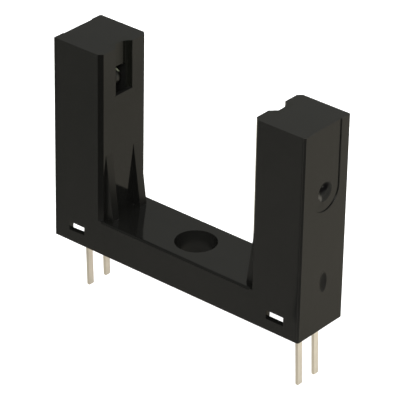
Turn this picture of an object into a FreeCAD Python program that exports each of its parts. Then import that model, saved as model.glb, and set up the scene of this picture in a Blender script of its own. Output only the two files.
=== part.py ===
import FreeCAD, Part
import os

from FreeCAD import Vector

# Photo interrupter: a one-piece moulded housing with two posts across a slot, and in each post
# a lensed resin package on two flat leads. Millimetres. The origin is on the screw hole's axis
# at the underside of the housing, +X runs along the length and +Z points up.
# The emitter is in the post at -X and the detector in the post at +X.

# Housing outline
slot_width = 14.0
post_thickness = 4.5
depth = 5.0
height = 16.3
base_thickness = 2.75
edge_chamfer = 0.3
outer_back_chamfer = 0.1
outer_front_chamfer = 0.12
base_edge_radius = 0.17
screw_hole_diameter = 3.2

# Ribs at the foot of each post, on the slot side
rib_height = 5.05
rib_toe = 0.7
rib_thickness = 0.5
rib_spacing = 3.05

# Optical path: a round groove down the slot face that opens into the post
optical_axis_height = 13.35
groove_radius = 1.06
groove_depth = 0.5
groove_floor_drop = 0.85
window_height = 2.0

# Recess on the outer face, with the moulding gate at the centre of its round foot, and an oval
# scoop further down
recess_width = 3.06
recess_depth = 0.07
gate_height = 11.2
gate_diameter = 1.5
gate_floor_diameter = 0.92
gate_depth = 0.15
gate_pit_diameter = 0.84
gate_pit_depth = 0.2
gate_pit_rise = 0.1
scoop_width = 0.8
scoop_length = 1.65
scoop_depth = 0.15
scoop_height = 3.9
scoop_offset = 0.13

# Small windows through the front and back of each post's foot
foot_window_width = 1.55
foot_window_height = 0.7
foot_window_sill = 0.9
foot_window_setback = 2.15

# Notch in the foot of the outer wall at -X, which lets light through to the front window
foot_notch_width = 2.6
foot_notch_height = 0.7

# Resin package: a flat block with a domed lens that faces the slot
package_thickness = 2.1
package_width = 4.0
package_height = 5.0
package_chamfer = 0.15
lens_radius = 0.7
lens_boss = 0.45
lens_below_top = 1.6
slot_wall = 0.35
lens_gap = 0.2
package_clearance = 0.05
lens_clearance = 0.25

# Mouth of the pocket, flared so that the package can be slid in from below
mouth_height = 1.9
mouth_flare = 0.35
mouth_slot_flare = 0.2

# Flat leads: the inner end carries the chip on one of each pair and takes the wire on the other
lead_thickness = 0.25
lead_width = 0.5
lead_pitch = 1.85
lead_offset = 0.4
lead_reach = 4.8
lead_setback = 1.3
chip_pad_size = 1.1
wire_pad_width = 0.7
wire_pad_height = 0.5

# Chips and bond wires
led_chip_size = 0.35
led_chip_thickness = 0.18
transistor_chip_size = 0.6
transistor_chip_thickness = 0.22
wire_diameter = 0.05
wire_loop = 0.3
wire_inset = 0.18

# Sizes that follow from the ones above, on the +X side of the slot
length = slot_width + 2 * post_thickness
slot_face = slot_width / 2
outer_face = length / 2
front = -depth / 2
back = depth / 2
post_centre = slot_face + post_thickness / 2
lens_tip = slot_face + slot_wall + lens_gap
lens_centre = lens_tip + lens_radius
package_front = lens_centre + lens_boss
package_back = package_front + package_thickness
package_top = optical_axis_height + lens_below_top
package_bottom = package_top - package_height
pocket_roof = package_top + package_clearance
pocket_back = package_back + package_clearance
pocket_half_width = package_width / 2 + package_clearance
channel_half_width = lens_radius + lens_clearance
groove_floor = optical_axis_height - groove_floor_drop
lead_face = package_front + lead_setback - lead_thickness / 2
chip_lead_y = lead_offset - lead_pitch / 2
wire_lead_y = lead_offset + lead_pitch / 2


def box(x0, x1, y0, y1, z0, z1):
    return Part.makeBox(x1 - x0, y1 - y0, z1 - z0, Vector(x0, y0, z0))


def prism(corners, along):
    face = Part.Face(Part.makePolygon(corners + corners[:1]))
    return face.extrude(along)


def cylinder_along_x(radius, x0, x1, y, z):
    return Part.makeCylinder(radius, x1 - x0, Vector(x0, y, z), Vector(1, 0, 0))


def other_side(shape):
    # The same shape in the post at -X.
    return shape.mirror(Vector(0, 0, 0), Vector(1, 0, 0))


def frame_outline():
    # The base and both posts as one U, seen along Y.
    corners = [(-outer_face, 0), (outer_face, 0), (outer_face, height), (slot_face, height),
               (slot_face, base_thickness), (-slot_face, base_thickness), (-slot_face, height),
               (-outer_face, height)]
    return prism([Vector(x, front, z) for x, z in corners], Vector(0, depth, 0))


def edge_cut(x, y, size, foot):
    # A 45 degree cut along an upright edge; the material lies towards the post's centre.
    toward_x = size if x < post_centre else -size
    toward_y = size if y < 0 else -size
    corners = [Vector(x, y, foot), Vector(x + toward_x, y, foot), Vector(x, y + toward_y, foot)]
    return prism(corners, Vector(0, 0, height - foot))


def edge_cuts():
    return [edge_cut(slot_face, front, edge_chamfer, base_thickness),
            edge_cut(slot_face, back, edge_chamfer, base_thickness),
            edge_cut(outer_face, back, outer_back_chamfer, 0)]


def base_front_round():
    # Rounds the base's upper front edge between the posts.
    low = base_thickness - base_edge_radius
    inner = front + base_edge_radius
    corner = box(-slot_face, slot_face, front, inner, low, base_thickness)
    return corner.cut(cylinder_along_x(base_edge_radius, -slot_face, slot_face, inner, low))


def ribs():
    made = []
    for middle in (-rib_spacing / 2, rib_spacing / 2):
        y = middle - rib_thickness / 2
        corners = [Vector(slot_face, y, base_thickness), Vector(slot_face - rib_toe, y, base_thickness),
                   Vector(slot_face, y, base_thickness + rib_height)]
        made.append(prism(corners, Vector(0, rib_thickness, 0)))
    return made


def pocket():
    # The room for the package, the channel for its lens, and the flared mouth, open below.
    body = box(package_front, pocket_back, -pocket_half_width, pocket_half_width, 0, pocket_roof)
    channel = box(slot_face + slot_wall, package_front, -channel_half_width, channel_half_width,
                  0, groove_floor + window_height)
    near = slot_face + slot_wall
    corners = [(near - mouth_slot_flare, 0), (pocket_back + mouth_flare, 0),
               (pocket_back + mouth_flare, mouth_height), (pocket_back, mouth_height + mouth_flare),
               (near, mouth_height + mouth_flare), (near - mouth_slot_flare, mouth_height)]
    mouth = prism([Vector(x, -pocket_half_width, z) for x, z in corners],
                  Vector(0, 2 * pocket_half_width, 0))
    return body.fuse([channel, mouth])


def optical_groove():
    axis = slot_face + groove_depth - groove_radius
    return Part.makeCylinder(groove_radius, height - groove_floor, Vector(axis, 0, groove_floor))


def outer_recess():
    floor = outer_face - recess_depth
    half = recess_width / 2
    upper = box(floor, outer_face, -half, half, gate_height, height)
    return upper.fuse(cylinder_along_x(half, floor, outer_face, 0, gate_height))


def foot_windows():
    middle = outer_face - foot_window_setback
    half = foot_window_width / 2
    return box(middle - half, middle + half, front, back,
               foot_window_sill, foot_window_sill + foot_window_height)


def foot_notch():
    half = foot_notch_width / 2
    return box(-outer_face, -pocket_back, -half, half, 0, foot_notch_height)


def gate_mark():
    # A shallow round dish in the recess, with a deeper pit where the gate broke off.
    floor = outer_face - recess_depth - gate_depth
    small = gate_floor_diameter / 2
    widening = (gate_diameter / 2 - small) / gate_depth
    large = small + widening * (outer_face - floor)
    across = Vector(1, 0, 0)
    dish = Part.makeCone(small, large, outer_face - floor, Vector(floor, 0, gate_height), across)
    ball = (gate_pit_diameter ** 2 / 4 + gate_pit_depth ** 2) / (2 * gate_pit_depth)
    pit = Part.makeSphere(ball, Vector(floor - gate_pit_depth + ball, 0, gate_height + gate_pit_rise))
    return dish.fuse(pit)


def scoop():
    # A shallow oval hollow, turned about an upright axis that stands outside the wall.
    swell = (scoop_width ** 2 / 4 + scoop_depth ** 2) / (2 * scoop_depth)
    axis = outer_face - scoop_depth + swell
    foot = Vector(outer_face, scoop_offset, scoop_height - scoop_length / 2)
    deepest = Vector(outer_face - scoop_depth, scoop_offset, scoop_height)
    top = Vector(outer_face, scoop_offset, scoop_height + scoop_length / 2)
    ends = [top, Vector(axis, top.y, top.z), Vector(axis, foot.y, foot.z), foot]
    profile = Part.Wire([Part.Arc(foot, deepest, top).toShape()] + Part.makePolygon(ends).Edges)
    return Part.Face(profile).revolve(Vector(axis, scoop_offset, 0), Vector(0, 0, 1), 360)


def housing():
    cuts = edge_cuts() + [pocket(), optical_groove(), outer_recess(), foot_windows()]
    solid = frame_outline().fuse(ribs() + [other_side(rib) for rib in ribs()])
    solid = solid.cut(cuts + [other_side(tool) for tool in cuts])
    screw_hole = Part.makeCylinder(screw_hole_diameter / 2, base_thickness)
    outer_front = edge_cut(outer_face, front, outer_front_chamfer, 0)
    single = [screw_hole, base_front_round(), outer_front, foot_notch(), gate_mark(), scoop()]
    return solid.cut(single).removeSplitter()


def chip_lead():
    # A flat lead whose inner end is the pad behind the lens.
    half = lead_width / 2
    pad = chip_pad_size / 2
    shank = box(lead_face, lead_face + lead_thickness, chip_lead_y - half, chip_lead_y + half,
                -lead_reach, optical_axis_height)
    head = box(lead_face, lead_face + lead_thickness, -pad, pad,
               optical_axis_height - pad, optical_axis_height + pad)
    return shank.fuse(head).removeSplitter()


def wire_lead():
    # A flat lead with a short head that reaches towards the pad and takes the bond wire.
    outer = wire_lead_y + lead_width / 2
    half = wire_pad_height / 2
    shank = box(lead_face, lead_face + lead_thickness, outer - lead_width, outer,
                -lead_reach, optical_axis_height)
    head = box(lead_face, lead_face + lead_thickness, outer - wire_pad_width, outer,
               optical_axis_height - half, optical_axis_height + half)
    return shank.fuse(head).removeSplitter()


def chip(size, thickness):
    half = size / 2
    return box(lead_face - thickness, lead_face, -half, half,
               optical_axis_height - half, optical_axis_height + half)


def bond_wire(thickness, far_lead):
    # Straight up from the chip, across, and down to the far lead's head, with mitred bends.
    chip_face = lead_face - thickness
    landing = wire_lead_y + lead_width / 2 - wire_pad_width + wire_inset
    places = [(chip_face, 0), (chip_face - wire_loop, 0), (chip_face - wire_loop, landing / 2),
              (lead_face + wire_diameter, landing)]
    spine = Part.makePolygon([Vector(x, y, optical_axis_height) for x, y in places])
    start = Vector(chip_face, 0, optical_axis_height)
    ring = Part.Wire(Part.makeCircle(wire_diameter / 2, start, Vector(1, 0, 0)))
    right_corners = 1
    return spine.makePipeShell([ring], True, False, right_corners).cut(far_lead)


def package(inside):
    # The resin block with its lens, moulded round the leads, the chip and the wire.
    half = package_width / 2
    block = box(package_front, package_back, -half, half, package_bottom, package_top)
    block = block.makeChamfer(package_chamfer, block.Edges)
    ball = Part.makeSphere(lens_radius, Vector(lens_centre, 0, optical_axis_height))
    boss = cylinder_along_x(lens_radius, lens_centre, package_front + package_chamfer, 0,
                            optical_axis_height)
    dome = ball.common(box(lens_tip, lens_centre, -half, half, package_bottom, package_top))
    return block.fuse([boss, dome]).cut(inside).removeSplitter()


def device(chip_size, chip_thickness):
    # The four pieces inside a package, and the package round them.
    carrier = chip_lead()
    far = wire_lead()
    die = chip(chip_size, chip_thickness)
    wire = bond_wire(chip_thickness, far)
    return [package([carrier, far, die, wire]), carrier, far, die, wire]


def parts():
    made = {"housing": housing()}
    emitter_names = ["emitter_package", "cathode_lead", "anode_lead", "led_chip", "led_bond_wire"]
    emitter = device(led_chip_size, led_chip_thickness)
    for name, shape in zip(emitter_names, emitter):
        made[name] = other_side(shape)
    detector_names = ["detector_package", "collector_lead", "emitter_lead", "phototransistor_chip",
                      "phototransistor_bond_wire"]
    detector = device(transistor_chip_size, transistor_chip_thickness)
    for name, shape in zip(detector_names, detector):
        made[name] = shape
    return made


os.makedirs("parts", exist_ok=True)
for name, shape in parts().items():
    shape.exportStep(f"parts/{name}.step")
    print(f"{name}: {len(shape.Solids)} solid, {shape.Volume:.3f} mm3, valid {shape.isValid()}")
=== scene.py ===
import math

import bpy
from mathutils import Matrix, Vector


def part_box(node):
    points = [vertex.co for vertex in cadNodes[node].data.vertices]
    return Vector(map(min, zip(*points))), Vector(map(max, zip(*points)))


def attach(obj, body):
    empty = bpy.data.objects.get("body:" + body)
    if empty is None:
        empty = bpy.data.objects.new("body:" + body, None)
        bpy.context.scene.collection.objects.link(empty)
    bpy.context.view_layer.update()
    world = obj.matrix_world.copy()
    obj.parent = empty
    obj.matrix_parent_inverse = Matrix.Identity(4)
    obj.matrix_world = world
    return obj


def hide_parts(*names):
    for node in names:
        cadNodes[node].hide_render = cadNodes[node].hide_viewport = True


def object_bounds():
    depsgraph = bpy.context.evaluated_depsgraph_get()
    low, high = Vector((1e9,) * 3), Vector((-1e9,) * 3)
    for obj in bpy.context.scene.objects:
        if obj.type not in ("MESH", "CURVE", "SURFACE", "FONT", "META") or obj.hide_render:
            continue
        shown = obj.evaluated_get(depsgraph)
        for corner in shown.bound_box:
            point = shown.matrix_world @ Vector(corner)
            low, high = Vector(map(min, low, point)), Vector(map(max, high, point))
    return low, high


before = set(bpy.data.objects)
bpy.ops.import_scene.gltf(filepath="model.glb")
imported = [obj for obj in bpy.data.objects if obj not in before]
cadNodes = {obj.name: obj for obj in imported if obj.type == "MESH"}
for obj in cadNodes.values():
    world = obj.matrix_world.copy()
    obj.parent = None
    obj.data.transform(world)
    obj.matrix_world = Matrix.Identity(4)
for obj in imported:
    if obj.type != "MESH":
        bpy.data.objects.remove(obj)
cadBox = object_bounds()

# Photo interrupter: a moulded housing with two posts, and in each post a lensed resin package on two leads.
# Metres, in the frame of the CAD nodes. The emitter is at -X and the detector at +X, so side is -1 or 1.

mm = 0.001
mergeDistance = 0.0001 * mm
flatAngle = 0.5  # degrees, below which two triangles are one flat face
noiseRange = (0.3, 0.7)  # where nearly all of a noise pattern's values lie
print("frame loaded:", len(cadNodes), "nodes")


# Working helpers

def clearSelection():
    if bpy.context.object and bpy.context.object.mode != "OBJECT":
        bpy.ops.object.mode_set(mode="OBJECT")
    bpy.ops.object.select_all(action="DESELECT")


def workOn(piece):
    clearSelection()
    piece.select_set(True)
    bpy.context.view_layer.objects.active = piece


def editMode(piece):
    workOn(piece)
    bpy.ops.object.mode_set(mode="EDIT")


def objectMode():
    bpy.ops.object.mode_set(mode="OBJECT")


def pick(piece, kind, wanted):
    # Selects the vertices, edges or faces that pass the test, and leaves the piece in edit mode.
    editMode(piece)
    bpy.ops.mesh.select_mode(type=kind)
    bpy.ops.mesh.select_all(action="DESELECT")
    objectMode()
    mesh = piece.data
    if kind == "VERT":
        for vertex in mesh.vertices:
            vertex.select = wanted(vertex.co)
    elif kind == "EDGE":
        for edge in mesh.edges:
            edge.select = wanted(*(mesh.vertices[end].co for end in edge.vertices))
    else:
        for face in mesh.polygons:
            face.select = wanted(face.center, face.normal)
    bpy.ops.object.mode_set(mode="EDIT")


def moveVertices(piece, wanted, change):
    pick(piece, "VERT", wanted)
    bpy.ops.transform.translate(value=change)
    objectMode()


def putInScene(name, data):
    thing = bpy.data.objects.new(name, data)
    bpy.context.scene.collection.objects.link(thing)
    return thing


def addBlock(name, low, high):
    # A block between two corners, with its place in its mesh.
    clearSelection()
    bpy.ops.mesh.primitive_cube_add(size=1, location=(low + high) / 2, scale=high - low)
    piece = bpy.context.object
    piece.name = name
    bpy.ops.object.transform_apply(location=True, rotation=True, scale=True)
    return piece


def copyOfNode(name, nodeName):
    # A merged copy of a CAD node's mesh with its flat faces whole, as a start for a detailed piece.
    piece = putInScene(name, cadNodes[nodeName].data.copy())
    piece.data.materials.clear()
    editMode(piece)
    bpy.ops.mesh.customdata_custom_splitnormals_clear()
    bpy.ops.mesh.select_all(action="SELECT")
    bpy.ops.mesh.remove_doubles(threshold=mergeDistance)
    bpy.ops.mesh.dissolve_limited(angle_limit=math.radians(flatAngle))
    bpy.ops.mesh.faces_shade_flat()
    objectMode()
    return piece


def applyModifiers(piece):
    workOn(piece)
    for modifier in list(piece.modifiers):
        bpy.ops.object.modifier_apply(modifier=modifier.name)


def weldInto(piece, other):
    # Joins the piece with another one, which is then gone.
    modifier = piece.modifiers.new("weld", "BOOLEAN")
    modifier.operation = "UNION"
    modifier.solver = "EXACT"
    modifier.object = other
    applyModifiers(piece)
    bpy.data.objects.remove(other)


def smoothByAngle(piece, degrees):
    workOn(piece)
    bpy.ops.object.shade_smooth_by_angle(angle=math.radians(degrees), keep_sharp_edges=False)


def finishPiece(piece, material, nodeName):
    piece.data.materials.clear()
    piece.data.materials.append(material)
    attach(piece, "root")
    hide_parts(nodeName)


# Helpers for materials

def newMaterial(name, **uniform):
    material = bpy.data.materials.new(name)
    material.use_nodes = True
    tree = material.node_tree
    shader = tree.nodes["Principled BSDF"]
    for label, value in uniform.items():
        shader.inputs[label.replace("_", " ")].default_value = value
    return material, tree, shader


def millimetreCoordinates(tree, stretch=(1, 1, 1)):
    # Object coordinates in millimetres, squeezed along an axis where a pattern runs along it.
    coordinates = tree.nodes.new("ShaderNodeTexCoord")
    mapping = tree.nodes.new("ShaderNodeMapping")
    mapping.inputs["Scale"].default_value = [along / mm for along in stretch]
    tree.links.new(coordinates.outputs["Object"], mapping.inputs["Vector"])
    return mapping.outputs["Vector"]


def axesOf(tree, vector):
    split = tree.nodes.new("ShaderNodeSeparateXYZ")
    tree.links.new(vector, split.inputs["Vector"])
    return split.outputs


def noise(tree, vector, perMillimetre, detail):
    node = tree.nodes.new("ShaderNodeTexNoise")
    node.inputs["Scale"].default_value = perMillimetre
    node.inputs["Detail"].default_value = detail
    tree.links.new(vector, node.inputs["Vector"])
    return node.outputs["Fac"]


def spread(tree, value, target=(0, 1), source=noiseRange):
    # Carries the source range over to the target range.
    node = tree.nodes.new("ShaderNodeMapRange")
    node.inputs["From Min"].default_value, node.inputs["From Max"].default_value = source
    node.inputs["To Min"].default_value, node.inputs["To Max"].default_value = target
    tree.links.new(value, node.inputs["Value"])
    return node.outputs["Result"]


def calculate(tree, operation, *values):
    node = tree.nodes.new("ShaderNodeMath")
    node.operation = operation
    for socket, value in zip(node.inputs, values):
        if isinstance(value, float):
            socket.default_value = value
        else:
            tree.links.new(value, socket)
    return node.outputs["Value"]


def calculateVector(tree, operation, vector, other=(0, 0, 0)):
    node = tree.nodes.new("ShaderNodeVectorMath")
    node.operation = operation
    tree.links.new(vector, node.inputs[0])
    node.inputs[1].default_value = other
    return node.outputs


def blend(tree, factor, first, second, kind="RGBA"):
    # Goes from the first to the second: colours, or numbers where the kind is VALUE.
    node = tree.nodes.new("ShaderNodeMix")
    node.data_type = "RGBA" if kind == "RGBA" else "FLOAT"
    tree.links.new(factor, node.inputs["Factor"])
    for label, value in (("A", first), ("B", second)):
        socket = next(entry for entry in node.inputs if entry.name == label and entry.type == kind)
        if isinstance(value, tuple):
            socket.default_value = (*value, 1)
        elif isinstance(value, float):
            socket.default_value = value
        else:
            tree.links.new(value, socket)
    return next(entry for entry in node.outputs if entry.type == kind)


def blendShaders(tree, factor, first, second):
    node = tree.nodes.new("ShaderNodeMixShader")
    for socket, value in zip(node.inputs, (factor, first, second)):
        tree.links.new(value, socket)
    return node.outputs["Shader"]


def bump(tree, shader, height, depth, under=None):
    node = tree.nodes.new("ShaderNodeBump")
    node.inputs["Strength"].default_value = 1
    node.inputs["Distance"].default_value = depth
    tree.links.new(height, node.inputs["Height"])
    if under is not None:
        tree.links.new(under, node.inputs["Normal"])
    tree.links.new(node.outputs["Normal"], shader.inputs["Normal"])
    return node.outputs["Normal"]


def markMask(tree, place, mark):
    # 1 inside the mark and 0 outside it. A mark has its centre, half size and soft edge in millimetres.
    # A round one is an ellipsoid, whose edge is a share of its size, and the others are boxes.
    away = calculateVector(tree, "SUBTRACT", place, mark["centre"])["Vector"]
    if mark.get("round"):
        scaled = calculateVector(tree, "DIVIDE", away, mark["size"])["Vector"]
        distance = calculateVector(tree, "LENGTH", scaled)["Value"]
        return spread(tree, distance, (1, 0), (1 - mark["edge"], 1))
    mask = None
    for axis, half in zip(axesOf(tree, away), mark["size"]):
        within = spread(tree, calculate(tree, "ABSOLUTE", axis), (1, 0), (half, half + mark["edge"]))
        mask = within if mask is None else calculate(tree, "MINIMUM", mask, within)
    return mask


# The camera stands at the photograph's viewing angle.

cameraView = {
    "azimuth": 39.696,
    "elevation": 29.662,
    "roll": 1.057,
    "distance": 208.01 * mm,
    "pivot": (0, 0, 8 * mm),
    "offset": (0.196 * mm, -1.573 * mm),
    "sensor": 36.0,
    "lens": 262.14,
    "clip": (0.01, 10),
}


def placeCamera():
    azimuth, elevation, roll = (math.radians(cameraView[turn]) for turn in ("azimuth", "elevation", "roll"))
    back = Vector((math.sin(azimuth) * math.cos(elevation), -math.cos(azimuth) * math.cos(elevation),
                   math.sin(elevation)))
    levelRight = Vector((math.cos(azimuth), math.sin(azimuth), 0))
    levelUp = back.cross(levelRight)
    right = levelRight * math.cos(roll) + levelUp * math.sin(roll)
    up = levelUp * math.cos(roll) - levelRight * math.sin(roll)
    sideways, upwards = cameraView["offset"]
    place = (Vector(cameraView["pivot"]) + back * cameraView["distance"]
             + right * sideways + up * upwards)
    lensData = bpy.data.cameras.new("camera")
    lensData.sensor_width = cameraView["sensor"]
    lensData.lens = cameraView["lens"]
    lensData.clip_start, lensData.clip_end = cameraView["clip"]
    camera = putInScene("camera", lensData)
    camera.matrix_world = Matrix.Translation(place) @ Matrix((right, up, back)).transposed().to_4x4()
    bpy.context.scene.camera = camera


placeCamera()
print("camera placed")


# Black moulded plastic of the housing

plasticFinish = {
    "polished": (0.0058, 0.0059, 0.0053),
    "dull": (0.0068, 0.0068, 0.0060),
    "roughness": (0.06, 0.10),
    # The darker colour of the outer sides is painted shade.
    "outerSideShade": (0.0040, 0.0039, 0.0036),
    "outerRoughness": 0.16,  # on top of the roughness elsewhere
    "outerFrom": (11.2, 11.3),
    "cloud": {"perMillimetre": 0.45, "detail": 3},
    "flow": {"perMillimetre": 0.7, "detail": 1},
    "flowDepth": 0.004 * mm,
    "grain": {"perMillimetre": 14, "detail": 2},
    "grainDepth": 0.0004 * mm,
    "ior": 1.5,
    "specular": {"blackPlastic": 0.22, "dullPlastic": 0.13, "tornGate": 0.05},
}

# Places on the housing with a colour and roughness of their own, where a later one lies over an earlier one.
# Most of their colours are painted shade and painted highlights.
# Those that both posts have are given at +X.
paintedLightAndFinishMarks = {
    # Darker colour in the groove: painted shade.
    "groove": {"centre": (7.42, 0, 14.7), "size": (0.38, 1.0, 2.3), "edge": 0.02, "bothPosts": True,
               "colour": (0.0047, 0.0049, 0.0037), "roughness": 0.11},
    # Paler colour in the foot window's pocket: painted light in the hollow.
    "pocket": {"centre": (9.13, 0, 8.4), "size": (1.77, 2.2, 6.06), "edge": 0.01, "bothPosts": True,
               "colour": (0.012, 0.012, 0.011), "roughness": 0.33},
    # Darker colour on the window ledge, in place of its reflection: painted shade.
    "ledge": {"centre": (7.25, 0, 12.5), "size": (0.26, 1.0, 0.03), "edge": 0.01, "bothPosts": True,
              "colour": (0.0025, 0.0025, 0.0022), "roughness": 0.6},
    # Paler colour along the front corner at +X: painted highlight.
    "frontCornerHighlight": {"centre": (11.45, -2.45, 8), "size": (0.12, 0.12, 9), "edge": 0.02,
                    "colour": (0.0105, 0.0102, 0.0090), "roughness": 0.2},
    # Darker colour on the ribs: painted shade.
    "ribs": {"centre": (6.6, 0, 5.45), "size": (0.38, 2.1, 2.65), "edge": 0.02, "bothPosts": True,
             "colour": (0.0052, 0.0052, 0.0046), "roughness": 0.36},
    # Darker colour on the slot chamfers: painted shade.
    "slotChamfer": {"centre": (7.15, -2.35, 9.5), "size": (0.14, 0.14, 8), "edge": 0.01, "bothPosts": True,
                    "colour": (0.0057, 0.0057, 0.0050), "roughness": 0.10},
    # Paler colour on the step of the recess: painted highlight.
    "recessStepHighlight": {"centre": (11.465, 0, 13), "size": (0.02, 2.0, 4.0), "edge": 0.01,
                   "colour": (0.0200, 0.0200, 0.0180), "roughness": 0.2},
    # Paler colour in the bore: painted light in the hole.
    "bore": {"centre": (0, 0, 1.4), "size": (1.65, 1.65, 60), "edge": 0.01, "round": True,
             "colour": (0.0095, 0.0095, 0.0085), "roughness": 0.18},
    # Darker colour in the scoop: painted shade.
    "scoop": {"centre": (11.5, 0.13, 3.9), "size": (1.0, 0.44, 0.88), "edge": 0.25, "round": True,
              "colour": (0.0045, 0.0044, 0.0040), "roughness": 0.65},
    # Grey of the stress-whitened gate, partly painted light.
    "gateDish": {"centre": (11.4, 0, 11.2), "size": (1.0, 0.76, 0.76), "edge": 0.05, "round": True,
                 "colour": (0.0170, 0.0170, 0.0155), "roughness": 0.40},
    # Dark middle of the gate: painted shade.
    "gateTearShade": {"centre": (11.4, 0.04, 11.44), "size": (1.0, 0.54, 0.50), "edge": 0.25, "round": True,
                 "colour": (0.0022, 0.0021, 0.0026), "roughness": 0.5},
    # Pale lips of the gate: painted highlights.
    "gateLipUpperHighlight": {"centre": (11.4, -0.56, 11.00), "size": (1.0, 0.19, 0.22), "edge": 0.5, "round": True,
                     "colour": (0.085, 0.081, 0.071), "roughness": 0.3},
    "gateLipLowerHighlight": {"centre": (11.4, -0.35, 10.76), "size": (1.0, 0.24, 0.22), "edge": 0.5, "round": True,
                     "colour": (0.085, 0.081, 0.071), "roughness": 0.3},
    # Painted glint.
    "gateGlint": {"centre": (11.08, 0.17, 11.42), "size": (0.08, 0.12, 0.11), "edge": 0.4, "round": True,
                  "colour": (0.060, 0.058, 0.055), "roughness": 0.3},
}


def makePlastic(name):
    material, tree, shader = newMaterial(name, IOR=plasticFinish["ior"],
                                         Specular_IOR_Level=plasticFinish["specular"][name])
    place = millimetreCoordinates(tree)
    cloud, flow, grain = (noise(tree, place, **plasticFinish[pattern])
                          for pattern in ("cloud", "flow", "grain"))
    axes = axesOf(tree, place)
    reach = calculate(tree, "ABSOLUTE", axes["X"])
    folded = tree.nodes.new("ShaderNodeCombineXYZ")
    for socket, value in zip(folded.inputs, (reach, axes["Y"], axes["Z"])):
        tree.links.new(value, socket)
    # The outer sides are rougher than the rest, and darker in colour: painted shade.
    outside = spread(tree, reach, source=plasticFinish["outerFrom"])
    colour = blend(tree, spread(tree, cloud), plasticFinish["polished"], plasticFinish["dull"])
    colour = blend(tree, outside, colour, plasticFinish["outerSideShade"])
    rough = spread(tree, cloud, plasticFinish["roughness"])
    rough = calculate(tree, "MULTIPLY_ADD", outside, plasticFinish["outerRoughness"], rough)
    # Most marks lay painted shade or painted highlights over the colour.
    for mark in paintedLightAndFinishMarks.values():
        mask = markMask(tree, folded.outputs["Vector"] if mark.get("bothPosts") else place, mark)
        colour = blend(tree, mask, colour, mark["colour"])
        rough = blend(tree, mask, rough, mark["roughness"], "VALUE")
    tree.links.new(colour, shader.inputs["Base Color"])
    tree.links.new(rough, shader.inputs["Roughness"])
    wavy = bump(tree, shader, flow, plasticFinish["flowDepth"])
    bump(tree, shader, grain, plasticFinish["grainDepth"], wavy)
    return material


# Tinned strip of the leads. Each colour is given at -X and at +X, where the strip is a little brighter:
# painted light.
# A range named From is where its finish sets in.

leadFinish = {
    "tin": ((0.825, 0.77, 0.718), (0.99, 0.945, 0.885)),
    "dullTin": ((0.735, 0.692, 0.64), (0.90, 0.85, 0.785)),
    "shearedEdge": ((0.70, 0.655, 0.585), (0.75, 0.70, 0.62)),
    "paintedLightSideFrom": (-1, 1),
    "dullFrom": (0.75, 1.25),
    "rolledFrom": (0.4, 0.8),
    "roughness": (0.30, 0.45),
    "streak": {"perMillimetre": 9, "detail": 3},
    "streakStretch": (1, 1, 0.06),
    "streakDepth": 0.004 * mm,
    "stain": {"perMillimetre": 1.3, "detail": 3},
}


def makeTin():
    material, tree, shader = newMaterial("tinnedStrip", Metallic=1)
    place = millimetreCoordinates(tree)
    streak = noise(tree, millimetreCoordinates(tree, leadFinish["streakStretch"]), **leadFinish["streak"])
    stain = noise(tree, place, **leadFinish["stain"])
    # Brighter towards +X: painted light.
    side = spread(tree, axesOf(tree, place)["X"], source=leadFinish["paintedLightSideFrom"])
    tin, dullTin, shearedEdge = (blend(tree, side, *leadFinish[finish])
                                 for finish in ("tin", "dullTin", "shearedEdge"))
    dull = spread(tree, calculate(tree, "ADD", streak, stain), source=leadFinish["dullFrom"])
    # The narrow sides were sheared after rolling, and are duller than the wide ones.
    geometry = tree.nodes.new("ShaderNodeNewGeometry")
    facing = calculate(tree, "ABSOLUTE", axesOf(tree, geometry.outputs["Normal"])["X"])
    rolled = spread(tree, facing, source=leadFinish["rolledFrom"])
    colour = blend(tree, rolled, shearedEdge, blend(tree, dull, tin, dullTin))
    tree.links.new(colour, shader.inputs["Base Color"])
    tree.links.new(spread(tree, stain, leadFinish["roughness"]), shader.inputs["Roughness"])
    bump(tree, shader, streak, leadFinish["streakDepth"])
    return material


# Resins of the packages. A pale, opaque patch on the upper side of the clear lens is a painted highlight.

resinFinish = {
    "ior": 1.53,
    "haze": {"perMillimetre": 2, "detail": 2},
    "ripple": {"perMillimetre": 5, "detail": 1},
    "rippleDepth": 0.0008 * mm,
    "clearResin": {"colours": ((0.036, 0.040, 0.028), (0.030, 0.034, 0.024)), "roughness": (0.30, 0.38),
                   "transmission": 0.92, "specular": 0.35,
                   "paintedHighlightPatch": {"centre": (-8.0, 0.36, 13.89), "size": (0.4, 0.30, 0.24), "edge": 0.4,
                                 "round": True, "colour": (0.44, 0.48, 0.33)}},
    "darkResin": {"colours": ((0.020, 0.012, 0.016), (0.028, 0.018, 0.020)), "roughness": (0.08, 0.16),
                  "transmission": 0.35, "specular": 0.5},
}


def makeResin(name):
    finish = resinFinish[name]
    material, tree, shader = newMaterial(name, IOR=resinFinish["ior"], Specular_IOR_Level=finish["specular"],
                                         Transmission_Weight=finish["transmission"])
    place = millimetreCoordinates(tree)
    haze = noise(tree, place, **resinFinish["haze"])
    colour = blend(tree, spread(tree, haze), *finish["colours"])
    if "paintedHighlightPatch" in finish:
        # The pale patch is a painted highlight, where the lens isn't clear.
        matt = markMask(tree, place, finish["paintedHighlightPatch"])
        colour = blend(tree, matt, colour, finish["paintedHighlightPatch"]["colour"])
        clear = spread(tree, matt, (finish["transmission"], 0), (0, 1))
        tree.links.new(clear, shader.inputs["Transmission Weight"])
    tree.links.new(colour, shader.inputs["Base Color"])
    tree.links.new(spread(tree, haze, finish["roughness"]), shader.inputs["Roughness"])
    bump(tree, shader, noise(tree, place, **resinFinish["ripple"]), resinFinish["rippleDepth"])
    return material


# Silicon of the chips, and gold of their pads and bond wires

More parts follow.
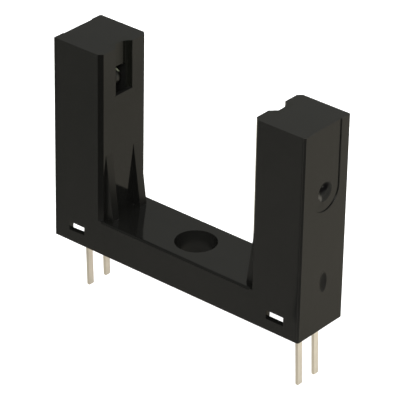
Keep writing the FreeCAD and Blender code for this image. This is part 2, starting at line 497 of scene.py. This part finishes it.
chipFinish = {
    "chipSurface": {"metallic": 0.6, "pattern": {"perMillimetre": 22, "detail": 1},
                    "colours": ((0.20, 0.22, 0.26), (0.34, 0.34, 0.36)), "roughness": (0.15, 0.35)},
    "bondGold": {"metallic": 1.0, "pattern": {"perMillimetre": 30, "detail": 2},
                 "colours": ((0.95, 0.68, 0.28), (0.86, 0.58, 0.22)), "roughness": (0.18, 0.3)},
}


def makeChipFinish(name):
    finish = chipFinish[name]
    material, tree, shader = newMaterial(name, Metallic=finish["metallic"])
    pattern = noise(tree, millimetreCoordinates(tree), **finish["pattern"])
    tree.links.new(blend(tree, spread(tree, pattern), *finish["colours"]), shader.inputs["Base Color"])
    tree.links.new(spread(tree, pattern, finish["roughness"]), shader.inputs["Roughness"])
    return material


blackPlastic = makePlastic("blackPlastic")
dullPlastic = makePlastic("dullPlastic")
tornGate = makePlastic("tornGate")
tinnedStrip = makeTin()
clearResin = makeResin("clearResin")
darkResin = makeResin("darkResin")
chipSurface = makeChipFinish("chipSurface")
bondGold = makeChipFinish("bondGold")
print("materials made")


# The housing. Ranges are along X, Y and Z, and a rib's changes are given for its end, -1 at -Y and 1 at +Y.

housingShape = {
    "edgeRadius": 0.03 * mm,
    "edgeSteps": 2,
    "sharpAngle": 28,
    "smoothAngle": 40,
    "grooveEdge": ((6.0 * mm, 8.0 * mm), 1.05 * mm),
    "grooveBottom": 12.0 * mm,
    "grooveFloor": 7.50 * mm,
    "grooveFlat": ((7.3 * mm, 7.6 * mm), (-0.54 * mm, 0)),
    "ribPlace": ((6.2 * mm, 7.05 * mm), (1.2 * mm, 1.85 * mm), (2.7 * mm, 8.3 * mm)),
    "ribMiddle": 1.525 * mm,
    "ribTop": 7 * mm,
    "ribThicker": {-1: 0.17 * mm, 1: 0.21 * mm},
    "ribHigher": {-1: 0.30 * mm, 1: 0.06 * mm},
    "boreRadius": 1.62 * mm,
    "slotChamfer": ((6.95 * mm, 7.35 * mm), (2.15 * mm, 2.55 * mm)),
    "leftWindow": ((-9.6 * mm, -7.6 * mm), (-2.6 * mm, -1.9 * mm), (0.7 * mm, 1.8 * mm)),
    "leftWindowMiddle": (-8.6 * mm, 1.25 * mm),
    "leftWindowChange": (-0.08 * mm, 0.07 * mm),
    "gate": (11.4 * mm, 0.0, 11.2 * mm),
    "gateRadius": 0.77 * mm,
    "gateDepth": 0.4 * mm,
}


def inRanges(place, ranges):
    return all(low < along < high for along, (low, high) in zip(place, ranges))


def onGrooveEdge(first, second):
    (inner, outer), halfWidth = housingShape["grooveEdge"]
    return all(inner < abs(end.x) < outer and abs(end.y) < halfWidth and end.z > housingShape["grooveBottom"]
               for end in (first, second))


def onSlotChamfer(place):
    return inRanges((abs(place.x), abs(place.y)), housingShape["slotChamfer"])


def onBore(place):
    return math.hypot(place.x, place.y) < housingShape["boreRadius"]


def onGate(place):
    away = place - Vector(housingShape["gate"])
    return abs(away.x) < housingShape["gateDepth"] and math.hypot(away.y, away.z) < housingShape["gateRadius"]


def flattenGroove(piece, side):
    # The half of the groove's floor towards -Y is flat.
    def onFloor(place):
        return (inRanges((side * place.x, place.y), housingShape["grooveFlat"])
                and place.z > housingShape["grooveBottom"])

    pick(piece, "VERT", onFloor)
    bpy.ops.transform.resize(value=(0, 1, 1), center_override=(side * housingShape["grooveFloor"], 0, 0))
    objectMode()


def thickenRib(piece, end):
    # The rib at this end of both posts gets its height, and its thickness towards -Y.
    def onRib(place):
        return inRanges((abs(place.x), end * place.y, place.z), housingShape["ribPlace"])

    def onTop(place):
        return onRib(place) and place.z > housingShape["ribTop"]

    def onFront(place):
        return onRib(place) and place.y < end * housingShape["ribMiddle"]

    moveVertices(piece, onTop, (0, 0, housingShape["ribHigher"][end]))
    moveVertices(piece, onFront, (0, -housingShape["ribThicker"][end], 0))


def narrowLeftWindow(piece):
    # The front foot window at -X is a little smaller than the others: its right side and its sill move in.
    middle, change = housingShape["leftWindowMiddle"], housingShape["leftWindowChange"]

    def onRightSide(place):
        return inRanges(place, housingShape["leftWindow"]) and place.x > middle[0]

    def onSill(place):
        return inRanges(place, housingShape["leftWindow"]) and place.z < middle[1]

    moveVertices(piece, onRightSide, (change[0], 0, 0))
    moveVertices(piece, onSill, (0, 0, change[1]))


def roundEdges(piece):
    # The groove's own edges stay sharp.
    pick(piece, "EDGE", onGrooveEdge)
    objectMode()
    crisp = {edge.index for edge in piece.data.edges if edge.select}
    editMode(piece)
    bpy.ops.mesh.select_mode(type="EDGE")
    bpy.ops.mesh.select_all(action="DESELECT")
    bpy.ops.mesh.edges_select_sharp(sharpness=math.radians(housingShape["sharpAngle"]))
    objectMode()
    weights = piece.data.attributes.new("bevel_weight_edge", "FLOAT", "EDGE")
    for edge in piece.data.edges:
        weights.data[edge.index].value = 1 if edge.select and edge.index not in crisp else 0
    bevel = piece.modifiers.new("rounding", "BEVEL")
    bevel.limit_method = "WEIGHT"
    bevel.width = housingShape["edgeRadius"]
    bevel.segments = housingShape["edgeSteps"]
    smoothByAngle(piece, housingShape["smoothAngle"])
    applyModifiers(piece)
    weighted = piece.modifiers.new("flatFaces", "WEIGHTED_NORMAL")
    weighted.keep_sharp = True
    applyModifiers(piece)


def finishFaces(piece, material, wanted):
    # The faces between the wanted vertices get a finish of their own.
    if material.name not in piece.data.materials:
        piece.data.materials.append(material)
    pick(piece, "VERT", wanted)
    bpy.ops.mesh.select_mode(type="FACE")
    piece.active_material_index = piece.data.materials.find(material.name)
    bpy.ops.object.material_slot_assign()
    objectMode()


def makeHousing():
    piece = copyOfNode("housing_moulding", "housing")
    for side in (-1, 1):
        flattenGroove(piece, side)
    for end in (-1, 1):
        thickenRib(piece, end)
    narrowLeftWindow(piece)
    roundEdges(piece)
    finishPiece(piece, blackPlastic, "housing")
    finishFaces(piece, dullPlastic, onBore)
    finishFaces(piece, dullPlastic, onSlotChamfer)
    finishFaces(piece, tornGate, onGate)


makeHousing()
print("housing made")


# The leads lean a little towards +X, and those at -X are cut a little shorter.

leadShape = {
    "bendHeight": 0.1 * mm,
    "lean": {-1: 0.036, 1: 0.045},
    "tipHeight": 0.1 * mm,
    "tipChange": {-1: 0.27 * mm, 1: 0.0},
    "cornerRadius": 0.025 * mm,
    "cornerAngle": 30,
    "cornerSteps": 2,
    "smoothAngle": 40,
}


def makeLead(nodeName, side):
    piece = copyOfNode(nodeName + "_strip", nodeName)
    editMode(piece)
    bpy.ops.mesh.select_all(action="SELECT")
    bpy.ops.mesh.bisect(plane_co=(0, 0, leadShape["bendHeight"]), plane_no=(0, 0, 1))
    tip = cadBox[0].z
    across = leadShape["lean"][side] * (leadShape["bendHeight"] - tip)
    moveVertices(piece, lambda place: place.z < tip + leadShape["tipHeight"],
                 (across, 0, leadShape["tipChange"][side]))
    bevel = piece.modifiers.new("corners", "BEVEL")
    bevel.limit_method = "ANGLE"
    bevel.angle_limit = math.radians(leadShape["cornerAngle"])
    bevel.width = leadShape["cornerRadius"]
    bevel.segments = leadShape["cornerSteps"]
    applyModifiers(piece)
    smoothByAngle(piece, leadShape["smoothAngle"])
    finishPiece(piece, tinnedStrip, nodeName)


for leadName, side in (("cathode_lead", -1), ("anode_lead", -1), ("collector_lead", 1), ("emitter_lead", 1)):
    makeLead(leadName, side)
print("leads made")


# The resin packages are solid round their leads: a chamfered block with a half ball for its lens.

packageShape = {
    "blockFace": 8.7 * mm,
    "chamfer": 0.15 * mm,
    "lensRadius": 0.70 * mm,
    "lensCentre": 8.25 * mm,
    "lensHeight": 13.35 * mm,
    "lensRoot": 0.6 * mm,
    "segments": 64,
    "smoothAngle": 30,
    "nearly": 0.001 * mm,
}


def makePackage(name, nodeName, side, material):
    # The solid's box takes in the lens, so the block stops short of it on the slot's side.
    corners = [Vector(corner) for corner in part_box(nodeName)]
    corners[1 if side < 0 else 0].x = side * packageShape["blockFace"]
    block = addBlock(name, *corners)
    editMode(block)
    bpy.ops.mesh.select_all(action="SELECT")
    bpy.ops.mesh.bevel(offset=packageShape["chamfer"], segments=1)
    objectMode()
    centre, nearly = packageShape["lensCentre"], packageShape["nearly"]
    clearSelection()
    bpy.ops.mesh.primitive_uv_sphere_add(segments=packageShape["segments"],
                                         ring_count=packageShape["segments"] // 2,
                                         radius=packageShape["lensRadius"],
                                         location=(side * centre, 0, packageShape["lensHeight"]),
                                         rotation=(0, math.radians(90), 0))
    lens = bpy.context.object
    bpy.ops.object.transform_apply(location=True, rotation=True, scale=True)
    pick(lens, "VERT", lambda place: side * place.x > centre + nearly)
    bpy.ops.mesh.delete(type="VERT")
    objectMode()
    pick(lens, "VERT", lambda place: side * place.x > centre - nearly)
    root = side * packageShape["lensRoot"]
    bpy.ops.mesh.extrude_region_move(TRANSFORM_OT_translate={"value": (root, 0, 0)})
    bpy.ops.mesh.edge_face_add()
    bpy.ops.mesh.select_all(action="SELECT")
    bpy.ops.mesh.normals_make_consistent(inside=False)
    objectMode()
    weldInto(block, lens)
    smoothByAngle(block, packageShape["smoothAngle"])
    finishPiece(block, material, nodeName)


makePackage("emitter_body", "emitter_package", -1, clearResin)
makePackage("detector_body", "detector_package", 1, darkResin)
print("packages made")


# The chips: sawn blocks with a mesa, and on it the metal pad that takes the wire.

chipShape = {
    "street": 0.030 * mm,
    "mesaSlope": 0.012 * mm,
    "mesaHeight": 0.010 * mm,
    "padRadius": {"led_chip": 0.055 * mm, "phototransistor_chip": 0.075 * mm},
    "padHeight": 0.004 * mm,
    "facing": 0.9,  # the worked face looks at the slot, and 1 is straight at it
}


def makeChip(name, nodeName, side):
    piece = copyOfNode(name, nodeName)
    low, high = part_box(nodeName)
    pick(piece, "FACE", lambda centre, normal: -side * normal.x > chipShape["facing"])
    bpy.ops.mesh.inset(thickness=chipShape["street"])
    bpy.ops.mesh.inset(thickness=chipShape["mesaSlope"], depth=chipShape["mesaHeight"])
    mesaHalf = (high.y - low.y) / 2 - chipShape["street"] - chipShape["mesaSlope"]
    bpy.ops.mesh.inset(thickness=mesaHalf - chipShape["padRadius"][nodeName])
    bpy.ops.mesh.inset(thickness=chipShape["padHeight"], depth=chipShape["padHeight"])
    objectMode()
    pad = {face.index for face in piece.data.polygons if face.select}
    finishPiece(piece, chipSurface, nodeName)
    piece.data.materials.append(bondGold)
    for face in piece.data.polygons:
        face.material_index = 1 if face.index in pad else 0


# The bond wires: a ball on the chip, a loop across, and a wedge on the far lead.
# A point of the loop has its height over the chip, and its share of the way across.

wireShape = {
    "radius": 0.022 * mm,
    "loop": ((0, 0), (0.18 * mm, 0), (0.31 * mm, 0.01), (0.32 * mm, 0.16), (0.26 * mm, 0.42),
             (0.10 * mm, 0.80)),
    "loopOrder": 3,
    "loopSteps": 8,
    "roundness": 3,
    "ballRadius": 0.045 * mm,
    "ballSegments": 20,
    "ballRings": 12,
    "ballScale": (0.5, 1, 1),
    "wedgeScale": (0.25, 1.8, 1.1),
    "smoothAngle": 50,
}


def makeBondWire(name, nodeName, chipName, leadName, side):
    chipFace, leadFace = (min(abs(corner.x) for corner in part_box(end)) for end in (chipName, leadName))
    height = sum(corner.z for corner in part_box(chipName)) / 2
    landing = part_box(nodeName)[1].y - wireShape["radius"]
    route = [(side * (chipFace - up), across * landing, height) for up, across in wireShape["loop"]]
    route.append((side * leadFace, landing, height))
    clearSelection()
    bpy.ops.curve.primitive_nurbs_path_add()
    piece = bpy.context.object
    spline = piece.data.splines[0]
    spline.points.add(len(route) - len(spline.points))
    for point, place in zip(spline.points, route):
        point.co = (*place, 1)
    spline.order_u = wireShape["loopOrder"]
    spline.use_endpoint_u = True
    piece.data.bevel_depth = wireShape["radius"]
    piece.data.bevel_resolution = wireShape["roundness"]
    piece.data.use_fill_caps = True
    piece.data.resolution_u = wireShape["loopSteps"]
    bpy.ops.object.convert(target="MESH")
    piece = bpy.context.object
    piece.name = name
    ends = []
    for place, scale in ((route[0], wireShape["ballScale"]), (route[-1], wireShape["wedgeScale"])):
        clearSelection()
        bpy.ops.mesh.primitive_uv_sphere_add(segments=wireShape["ballSegments"],
                                             ring_count=wireShape["ballRings"],
                                             radius=wireShape["ballRadius"], location=place, scale=scale)
        bpy.ops.object.transform_apply(location=True, rotation=True, scale=True)
        ends.append(bpy.context.object)
    workOn(piece)
    for end in ends:
        end.select_set(True)
    bpy.ops.object.join()
    smoothByAngle(piece, wireShape["smoothAngle"])
    finishPiece(piece, bondGold, nodeName)


makeChip("led_die", "led_chip", -1)
makeChip("phototransistor_die", "phototransistor_chip", 1)
makeBondWire("led_wire_loop", "led_bond_wire", "led_chip", "anode_lead", -1)
makeBondWire("phototransistor_wire_loop", "phototransistor_bond_wire", "phototransistor_chip",
             "emitter_lead", 1)
print("chips and wires made")


# Floor, surround and lamps. An edge is where one reflection gives way to the next: along the floor in
# millimetres, and in the surround along X of the direction.

studio = {
    "floorHeight": -4.95 * mm,
    "floorSize": 4.0,
    "floorColour": (0.82, 0.82, 0.81),
    "whiteFill": 0.72,
    "leftReflection": (0.42, 0.415, 0.365),
    "leftEdge": (-28, -8),
    "frontReflection": (0.57, 0.546, 0.488),
    "rearEdge": (-7, 7),
    "rearReflection": (0.80, 0.75, 0.62),
    "rightEdge": (16.5, 20.5),
    "rightReflection": (0.90, 0.845, 0.70),
    "surroundDim": (0.36, 0.36, 0.335),
    "surroundBright": (0.60, 0.60, 0.54),
    "surroundEdge": (-0.627, -0.474),
    "ambient": 0.36,
    "cardCorners": ((4.3, -11.2), (20, -7.5), (60, -12), (60, -60), (-28, -60)),
    "cardLift": 0.2 * mm,
    "cardNear": 0.10,
    "cardEdge": (-22, -13),
    "lampAim": (0, 0, 6 * mm),
}

lamps = {
    "keyLamp": {"place": (0.20, -0.24, 0.25), "size": 0.20, "power": 1.35},
    "leftLamp": {"place": (-0.26, -0.16, 0.26), "size": 0.30, "power": 0.45, "mirrored": False},
    "rearLamp": {"place": (0.02, 0.34, 0.26), "size": 0.30, "power": 0.7},
}


def seenDirectly(tree, rays):
    return calculate(tree, "MAXIMUM", rays.outputs["Is Camera Ray"], rays.outputs["Is Transmission Ray"])


def makeFloor():
    clearSelection()
    bpy.ops.mesh.primitive_plane_add(size=studio["floorSize"], location=(0, 0, studio["floorHeight"]))
    floor = bpy.context.object
    floor.name = "floor"
    material, tree, shader = newMaterial("floorWhite")
    tree.nodes.remove(shader)
    rays = tree.nodes.new("ShaderNodeLightPath")
    matt = tree.nodes.new("ShaderNodeBsdfDiffuse")
    matt.inputs["Color"].default_value = (*studio["floorColour"], 1)
    fill = tree.nodes.new("ShaderNodeEmission")
    fill.inputs["Strength"].default_value = studio["whiteFill"]
    lit = tree.nodes.new("ShaderNodeAddShader")
    tree.links.new(matt.outputs[0], lit.inputs[0])
    tree.links.new(fill.outputs[0], lit.inputs[1])
    # What glossy rays meet: the floor is brighter behind the object, and dimmer in front and to the left.
    axes = axesOf(tree, millimetreCoordinates(tree))
    left = spread(tree, axes["X"], source=studio["leftEdge"])
    right = spread(tree, axes["X"], source=studio["rightEdge"])
    rear = spread(tree, axes["Y"], source=studio["rearEdge"])
    front = blend(tree, left, studio["leftReflection"], studio["frontReflection"])
    behind = blend(tree, right, studio["rearReflection"], studio["rightReflection"])
    mirrored = tree.nodes.new("ShaderNodeEmission")
    tree.links.new(blend(tree, rear, front, behind), mirrored.inputs["Color"])
    seen = blendShaders(tree, seenDirectly(tree, rays), matt.outputs[0], lit.outputs[0])
    glossy = blendShaders(tree, rays.outputs["Is Glossy Ray"], seen, mirrored.outputs[0])
    # From below, the floor isn't there.
    through = tree.nodes.new("ShaderNodeBsdfTransparent")
    geometry = tree.nodes.new("ShaderNodeNewGeometry")
    below = blendShaders(tree, geometry.outputs["Backfacing"], glossy, through.outputs[0])
    tree.links.new(below, tree.nodes["Material Output"].inputs["Surface"])
    floor.data.materials.append(material)


def makeDarkCard():
    # A black card on the floor in front of the object, seen only in reflections.
    # It glows faintly towards the object, so it is paler there: painted reflection.
    height = studio["floorHeight"] + studio["cardLift"]
    corners = [(x * mm, y * mm, height) for x, y in studio["cardCorners"]]
    mesh = bpy.data.meshes.new("darkCard")
    mesh.from_pydata(corners[::-1], [], [tuple(range(len(corners)))])
    card = putInScene("darkCard", mesh)
    material, tree, shader = newMaterial("cardBlack", Roughness=1, Specular_IOR_Level=0,
                                         Base_Color=(0, 0, 0, 1), Emission_Color=(1, 1, 1, 1))
    along = axesOf(tree, millimetreCoordinates(tree))["Y"]
    near = spread(tree, along, (0, studio["cardNear"]), studio["cardEdge"])
    tree.links.new(near, shader.inputs["Emission Strength"])
    mesh.materials.append(material)
    card.visible_camera = card.visible_diffuse = card.visible_shadow = card.visible_transmission = False


def makeSurround():
    world = bpy.data.worlds.new("surround")
    bpy.context.scene.world = world
    world.use_nodes = True
    tree = world.node_tree
    rays = tree.nodes.new("ShaderNodeLightPath")
    ambient = tree.nodes["Background"]
    ambient.inputs["Color"].default_value = (1, 1, 1, 1)
    ambient.inputs["Strength"].default_value = studio["ambient"]
    white = tree.nodes.new("ShaderNodeBackground")
    white.inputs["Color"].default_value = (1, 1, 1, 1)
    # Glossy rays meet a wide soft light that fades towards the left.
    mirrored = tree.nodes.new("ShaderNodeBackground")
    direction = tree.nodes.new("ShaderNodeTexCoord")
    sideways = axesOf(tree, direction.outputs["Generated"])["X"]
    bright = spread(tree, sideways, source=studio["surroundEdge"])
    tree.links.new(blend(tree, bright, studio["surroundDim"], studio["surroundBright"]),
                   mirrored.inputs["Color"])
    glossy = blendShaders(tree, rays.outputs["Is Glossy Ray"], ambient.outputs[0], mirrored.outputs[0])
    seen = blendShaders(tree, seenDirectly(tree, rays), glossy, white.outputs[0])
    tree.links.new(seen, tree.nodes["World Output"].inputs["Surface"])


def makeLamps():
    for name, lamp in lamps.items():
        data = bpy.data.lights.new(name, "AREA")
        data.size = lamp["size"]
        data.energy = lamp["power"]
        light = putInScene(name, data)
        place = Vector(lamp["place"])
        turn = (place - Vector(studio["lampAim"])).to_track_quat("Z", "Y")
        light.matrix_world = Matrix.Translation(place) @ turn.to_matrix().to_4x4()
        light.visible_glossy = lamp.get("mirrored", True)


makeFloor()
makeDarkCard()
makeSurround()
makeLamps()
bpy.context.scene.view_settings.view_transform = "Standard"
print("studio made")
